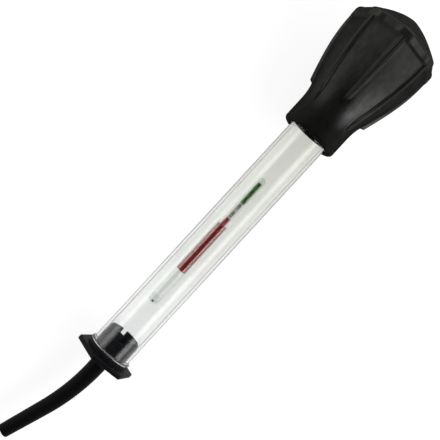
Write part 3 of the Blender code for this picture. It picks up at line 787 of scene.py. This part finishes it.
def bulb_rubber():
    """Moulded natural rubber: black with a fine skin, a patchy grey bloom, painted light that makes the
    panels lighter than the neck, crests rubbed smoother, and a satin polish in lengthwise wipes. It is
    dullest where the eye looks along the skin."""
    material, shader = new_material("moulded_black_rubber", IOR=1.52, Specular_IOR_Level=0.06,
                                    Coat_Roughness=0.24)
    place = drawing_place(material, FOOT)
    drawn = drawing_place(material, FOOT, stretch=2.5)
    rub = add_node(material, "Attribute", attribute_name="rub").outputs["Fac"]
    patch = add_node(material, "TexNoise", {"Vector": place, "Scale": 1 / 7.0, "Detail": 4.0}).outputs["Fac"]
    wipes = add_node(material, "TexNoise", {"Vector": drawn, "Scale": 1 / 2.0, "Detail": 3.0}).outputs["Fac"]
    # Skin grain is 0.1 mm on the real bulb and is drawn at 0.45 mm so that it shows
    grain = add_node(material, "TexNoise", {"Vector": place, "Scale": 1 / 0.45, "Detail": 2.0}).outputs["Fac"]
    spot = add_node(material, "SeparateXYZ", {0: place})
    facing = add_node(material, "LayerWeight", {"Blend": 0.5}).outputs["Facing"]

    bloom_and_painted_light = add_node(material, "Math", {0: wipes, 1: 0.4, 2: patch}, operation="MULTIPLY_ADD")
    bloom_and_painted_light = add_node(material, "MapRange", {"Value": bloom_and_painted_light.outputs[0], "From Min": 0.45, "From Max": 0.95})
    # Painted light: this height ramp lets the lighter bloom colour grow from the neck up onto the panels, so
    # the panels read lit and the neck shaded.
    body = add_node(material, "MapRange", {"Value": spot.outputs["Z"], "From Min": 150.0, "From Max": 185.0,
                                           "To Min": 0.2, "To Max": 1.0})
    bloom_and_painted_light = add_node(material, "Math", {0: bloom_and_painted_light.outputs[0], 1: body.outputs[0]}, operation="MULTIPLY")
    skin = add_node(material, "Mix", {MIX_SHARE: bloom_and_painted_light.outputs[0], MIX_FIRST: linear("#0e0f0d"),
                                      MIX_SECOND: linear("#2d2e29")}, data_type="RGBA")
    worn = add_node(material, "Mix", {MIX_SHARE: rub, MIX_FIRST: skin.outputs[MIX_RESULT],
                                      MIX_SECOND: linear("#22231f")}, data_type="RGBA")
    wire(material, worn.outputs[MIX_RESULT], shader, "Base Color")

    matt = add_node(material, "MapRange", {"Value": wipes, "From Min": 0.3, "From Max": 0.7,
                                           "To Min": 0.46, "To Max": 0.64})
    matt = add_node(material, "Math", {0: rub, 1: -0.12, 2: matt.outputs[0]}, operation="MULTIPLY_ADD")
    matt = add_node(material, "MapRange", {"Value": facing, "From Min": 0.35, "From Max": 0.8,
                                           "To Min": matt.outputs[0], "To Max": 1.0})
    wire(material, matt.outputs[0], shader, "Roughness")
    polish_bulb(material, shader, spot, wipes, facing)
    bump = add_node(material, "Bump", {"Strength": 0.35, "Distance": 0.08 * MM, "Height": grain})
    wire(material, bump.outputs[0], shader, "Normal")
    return material


def stopper_rubber():
    """Moulded nitrile rubber: denser, cooler black than the bulb, matt, with a faint mould grain."""
    material, shader = new_material("moulded_nitrile_rubber", IOR=1.52, Specular_IOR_Level=0.1)
    place = drawing_place(material, FOOT)
    patch = add_node(material, "TexNoise", {"Vector": place, "Scale": 1 / 3.0, "Detail": 3.0}).outputs["Fac"]
    grain = add_node(material, "TexNoise", {"Vector": place, "Scale": 1 / 0.35, "Detail": 2.0}).outputs["Fac"]
    vary_finish(material, shader, colour=(patch, "#090a0c", "#131418"), roughness=(patch, 0.52, 0.7),
                relief=(grain, 0.3, 0.06))
    return material


def nozzle_rubber():
    """Drawn rubber spout: deep black with a low sheen and faint lengthwise drawing lines."""
    material, shader = new_material("drawn_black_rubber", IOR=1.52, Specular_IOR_Level=0.06)
    place = drawing_place(material, FOOT)
    drawn = drawing_place(material, FOOT, stretch=14.0)
    patch = add_node(material, "TexNoise", {"Vector": place, "Scale": 1 / 5.0, "Detail": 3.0}).outputs["Fac"]
    lines = add_node(material, "TexNoise", {"Vector": drawn, "Scale": 1 / 0.5, "Detail": 2.0}).outputs["Fac"]
    vary_finish(material, shader, colour=(patch, "#0c0c0d", "#141415"), roughness=(lines, 0.5, 0.68),
                relief=(lines, 0.25, 0.06))
    return material


def barrel_plastic():
    """Extruded clear acrylic: faintly grey through its wall and greyer towards the bulb, with painted shade
    that darkens it where the eye looks along the wall, and with fine lengthwise drawing lines and soft
    scuffs."""
    material, shader = new_material("extruded_clear_acrylic", Transmission_Weight=1.0, IOR=1.49)
    place = drawing_place(material, FOOT)
    drawn = drawing_place(material, FOOT, stretch=60.0)
    # Drawing lines are a few hundredths of a millimetre wide and are drawn at 0.6 mm so that they show
    lines = add_node(material, "TexNoise", {"Vector": drawn, "Scale": 1 / 0.6, "Detail": 2.0}).outputs["Fac"]
    haze = add_node(material, "TexNoise", {"Vector": place, "Scale": 1 / 9.0, "Detail": 3.0}).outputs["Fac"]
    height = add_node(material, "SeparateXYZ", {0: place}).outputs["Z"]
    # The wall's tint turns greyer towards the bulb, with random haze on top.
    bulb_side_greying = add_node(material, "MapRange", {"Value": height, "From Min": 20.0, "From Max": 150.0,
                                          "To Min": 0.0, "To Max": 0.8})
    wall_greying = add_node(material, "Math", {0: haze, 1: 0.35, 2: bulb_side_greying.outputs[0]}, operation="MULTIPLY_ADD")
    wall = add_node(material, "Mix", {MIX_SHARE: wall_greying.outputs[0], MIX_FIRST: linear("#f6f7f7"),
                                      MIX_SECOND: linear("#e7e8e3")}, data_type="RGBA")
    # Painted shade: where the eye looks along the wall its colour turns dark grey, painting the dark lines
    # along the tube's edges.
    facing = add_node(material, "LayerWeight", {"Blend": 0.5}).outputs["Facing"]
    edge = add_node(material, "MapRange", {"Value": facing, "From Min": 0.58, "From Max": 0.74})
    tint = add_node(material, "Mix", {MIX_SHARE: edge.outputs[0], MIX_FIRST: wall.outputs[MIX_RESULT],
                                      MIX_SECOND: linear("#6c6f6d")}, data_type="RGBA")
    wire(material, tint.outputs[MIX_RESULT], shader, "Base Color")
    scuff = add_node(material, "Math", {0: lines, 1: haze}, operation="MULTIPLY")
    gloss = add_node(material, "MapRange", {"Value": scuff.outputs[0], "From Min": 0.15, "From Max": 0.4,
                                            "To Min": 0.04, "To Max": 0.09})
    wire(material, gloss.outputs[0], shader, "Roughness")
    bump = add_node(material, "Bump", {"Strength": 0.012, "Distance": 0.03 * MM, "Height": lines})
    wire(material, bump.outputs[0], shader, "Normal")
    return material


def float_glass(name, tint):
    """Lamp-drawn soda-lime glass: clear, bright, with a slow waviness from the flame."""
    material, shader = new_material(name, Transmission_Weight=1.0, IOR=1.52)
    drawn = drawing_place(material, FLOAT_FOOT, stretch=6.0)
    waves = add_node(material, "TexNoise", {"Vector": drawn, "Scale": 1 / 1.5, "Detail": 2.0}).outputs["Fac"]
    vary_finish(material, shader, colour=(waves, tint, "#fbfcfb"), roughness=(waves, 0.0, 0.03),
                relief=(waves, 0.05, 0.05))
    return material


def printed_card(name, ink_bands, film_ior):
    """Offset-printed card under gloss film: even bands of ink, mottled by the paper's fibres.

    A band has its lowest height, a pale and a deep colour. The red card lies under several layers, which
    together mirror about a seventh of the light, so its film's IOR is higher than one layer's.
    """
    material, shader = new_material(name, IOR=1.5, Specular_IOR_Level=0.05, Coat_Weight=1.0,
                                    Coat_Roughness=0.05, Coat_IOR=film_ior)
    place = drawing_place(material, FLOAT_FOOT)
    fibres = add_node(material, "TexNoise", {"Vector": place, "Scale": 1 / 0.3, "Detail": 4.0}).outputs["Fac"]
    blotch = add_node(material, "TexNoise", {"Vector": place, "Scale": 1 / 2.0, "Detail": 2.0}).outputs["Fac"]
    height = add_node(material, "SeparateXYZ", {0: place}).outputs["Z"]
    colour = None
    for start, pale, deep in ink_bands:
        ink = add_node(material, "Mix", {MIX_SHARE: blotch, MIX_FIRST: linear(deep),
                                         MIX_SECOND: linear(pale)}, data_type="RGBA").outputs[MIX_RESULT]
        if colour is None:
            colour = ink
            continue
        above = add_node(material, "MapRange", {"Value": height, "From Min": start - INK_SPREAD,
                                                "From Max": start + INK_SPREAD})
        colour = add_node(material, "Mix", {MIX_SHARE: above.outputs[0], MIX_FIRST: colour, MIX_SECOND: ink},
                          data_type="RGBA").outputs[MIX_RESULT]
    wire(material, colour, shader, "Base Color")
    matt = add_node(material, "MapRange", {"Value": fibres, "To Min": 0.55, "To Max": 0.8})
    wire(material, matt.outputs[0], shader, "Roughness")
    bump = add_node(material, "Bump", {"Strength": 0.2, "Distance": 0.03 * MM, "Height": fibres})
    wire(material, bump.outputs[0], shader, "Normal")
    return material


def scale_ink():
    """Letterpress black ink: a dense matt film, a little uneven in weight."""
    material, shader = new_material("letterpress_black_ink", IOR=1.5)
    place = drawing_place(material, FLOAT_FOOT)
    weight = add_node(material, "TexNoise", {"Vector": place, "Scale": 1 / 0.4, "Detail": 2.0}).outputs["Fac"]
    vary_finish(material, shader, colour=(weight, "#0b0b0b", "#1d1b1a"), roughness=(weight, 0.5, 0.7))
    return material


def shot_lead():
    """Cast lead: dull blue-grey metal, darker and duller where it has oxidised."""
    material, shader = new_material("cast_lead", Metallic=1.0)
    place = drawing_place(material, FLOAT_FOOT)
    oxide = add_node(material, "TexNoise", {"Vector": place, "Scale": 1 / 0.7, "Detail": 4.0}).outputs["Fac"]
    vary_finish(material, shader, colour=(oxide, "#2e3033", "#6a6c70"), roughness=(oxide, 0.65, 0.4),
                relief=(oxide, 0.3, 0.05))
    return material


def cast_resin():
    """Clear casting resin: water-clear with a slight cloud. It wets the glass, so its own outline is hardly
    seen, and its IOR is set low to give that across the gap between the two solids."""
    material, shader = new_material("cast_clear_resin", Transmission_Weight=1.0, IOR=1.1)
    place = drawing_place(material, FLOAT_FOOT)
    cloud = add_node(material, "TexNoise", {"Vector": place, "Scale": 1 / 1.2, "Detail": 3.0}).outputs["Fac"]
    vary_finish(material, shader, colour=(cloud, "#f4f4f0", "#fcfcfa"), roughness=(cloud, 0.04, 0.2))
    return material


def make_camera():
    """Over the barrel's middle, rolled so that the axis runs from lower left to upper right."""
    right = AXIS * AXIS_RIGHT - ACROSS * AXIS_UP
    up = AXIS * AXIS_UP + ACROSS * AXIS_RIGHT
    camera = bpy.data.objects.new("camera", bpy.data.cameras.new("camera"))
    bpy.context.scene.collection.objects.link(camera)
    turn = Matrix((right, up, VIEW)).transposed().to_4x4()
    place = TARGET + ACROSS * CAMERA_ASIDE * MM + VIEW * CAMERA_DISTANCE * MM
    camera.matrix_world = Matrix.Translation(place) @ turn
    camera.data.sensor_width = 36
    camera.data.lens = CAMERA_LENS
    camera.data.clip_start = 0.01
    bpy.context.scene.camera = camera


def between(start, end, angle):
    """The direction reached by turning from one direction towards another by an angle in degrees."""
    return start * math.cos(math.radians(angle)) + end * math.sin(math.radians(angle))


def make_lamp(name, toward, along, length, width, shift, radiance):
    """A softbox in one direction, its long side turned along another and shifted that way.

    Its width is the angle in degrees that it fills. Its cloth is brightest along the middle and fades to
    nothing at its long edges and at one end.
    """
    lamp = bpy.data.lights.new(name, "AREA")
    lamp.shape = "RECTANGLE"
    lamp.size = length
    lamp.size_y = 2 * LAMP_DISTANCE * math.tan(math.radians(width) / 2)
    lamp.energy = radiance * math.pi * lamp.size * lamp.size_y
    lamp.use_nodes = True
    cloth = add_node(lamp, "TexCoord")
    place = add_node(lamp, "SeparateXYZ", {0: cloth.outputs["UV"]})
    from_middle = add_node(lamp, "Math", {0: place.outputs["Y"], 1: 0.5}, operation="SUBTRACT")
    from_middle = add_node(lamp, "Math", {0: from_middle.outputs[0]}, operation="ABSOLUTE")
    across = add_node(lamp, "MapRange", {"Value": from_middle.outputs[0], "From Min": 0.0, "From Max": 0.5,
                                         "To Min": 1.0, "To Max": 0.0}, interpolation_type="SMOOTHSTEP")
    lengthwise = add_node(lamp, "MapRange", {"Value": place.outputs["X"], "From Min": 0.6, "From Max": 1.0,
                                             "To Min": 1.0, "To Max": 0.0}, interpolation_type="SMOOTHSTEP")
    fade = add_node(lamp, "Math", {0: across.outputs[0], 1: lengthwise.outputs[0]}, operation="MULTIPLY")
    wire(lamp, fade.outputs[0], lamp.node_tree.nodes["Emission"], "Strength")
    holder = bpy.data.objects.new(name, lamp)
    bpy.context.scene.collection.objects.link(holder)
    turn = Matrix((along, toward.cross(along), toward)).transposed().to_4x4()
    holder.matrix_world = Matrix.Translation(TARGET + toward * LAMP_DISTANCE + along * shift) @ turn
    holder.visible_camera = False


def seen_ray(backdrop):
    """One for a ray that the eye sees straight, in a reflection or through glass, and nought for light."""
    path = add_node(backdrop, "LightPath")
    seen = add_node(backdrop, "Math", {0: path.outputs["Is Camera Ray"], 1: path.outputs["Is Glossy Ray"]},
                    operation="MAXIMUM")
    seen = add_node(backdrop, "Math", {0: seen.outputs[0], 1: path.outputs["Is Transmission Ray"]},
                    operation="MAXIMUM")
    return seen.outputs[0]


def make_floor():
    """White paper sweep under the object, lifted to white for the eye but still taking its shadow."""
    bpy.ops.object.select_all(action="DESELECT")
    bpy.ops.mesh.primitive_plane_add(size=6)
    floor = bpy.context.object
    floor.name = "floor"
    material, shader = new_material("white_paper_sweep", Base_Color=linear("#909090"), Roughness=0.9)
    lift = add_node(material, "Math", {0: seen_ray(material), 1: FLOOR_LIFT}, operation="MULTIPLY")
    shader.inputs["Emission Color"].default_value = (1, 1, 1, 1)
    wire(material, lift.outputs[0], shader, "Emission Strength")
    floor.data.materials.append(material)


def make_world():
    """Studio walls, white to the eye and in reflections but dim as light, and a dark ceiling above them."""
    world = bpy.data.worlds.new("studio")
    bpy.context.scene.world = world
    world.use_nodes = True
    walls = add_node(world, "Math", {0: seen_ray(world), 1: 1 - WALL_LIGHT, 2: WALL_LIGHT},
                     operation="MULTIPLY_ADD")
    place = add_node(world, "TexCoord")
    height = add_node(world, "SeparateXYZ", {0: place.outputs["Generated"]})
    level = add_node(world, "MapRange", {"Value": height.outputs["Z"], "From Min": 0.15, "From Max": 0.5,
                                         "To Min": walls.outputs[0], "To Max": CEILING_LIGHT})
    back = world.node_tree.nodes["Background"]
    back.inputs["Color"].default_value = (1, 1, 1, 1)
    wire(world, level.outputs[0], back, "Strength")


red_band = (0.0, "#a81311", "#880c0b")
white_band = (57.35, "#e2e2de", "#d4d5d0")
green_band = (67.15, "#3c8c22", "#2c7016")

make_barrel(barrel_plastic())
make_bulb(bulb_rubber())
make_stopper(stopper_rubber())
make_nozzle(nozzle_rubber())
make_float_envelope(float_glass("lamp_drawn_glass", "#f8faf9"))
make_float_tip(float_glass("fused_glass_bead", "#eaf0ec"))
make_body_card(printed_card("printed_red_card", [red_band], film_ior=2.2))
make_stem_scale(printed_card("printed_scale_paper", [red_band, white_band, green_band], film_ior=1.5))
make_scale_numbers(scale_ink())
make_shot(shot_lead())
make_resin(cast_resin())

make_floor()
make_world()
make_lamp("softbox_left", between(VIEW, ACROSS, 53), -AXIS, length=1.6, width=52, shift=-0.12, radiance=2.1)
make_lamp("softbox_right", between(VIEW, -ACROSS, 60), -AXIS, length=1.6, width=50, shift=-0.12, radiance=3.2)
make_lamp("softbox_end", between(VIEW, AXIS, 62), ACROSS, length=1.4, width=46, shift=0.0, radiance=2.4)
make_camera()
bpy.context.scene.view_settings.view_transform = "Standard"
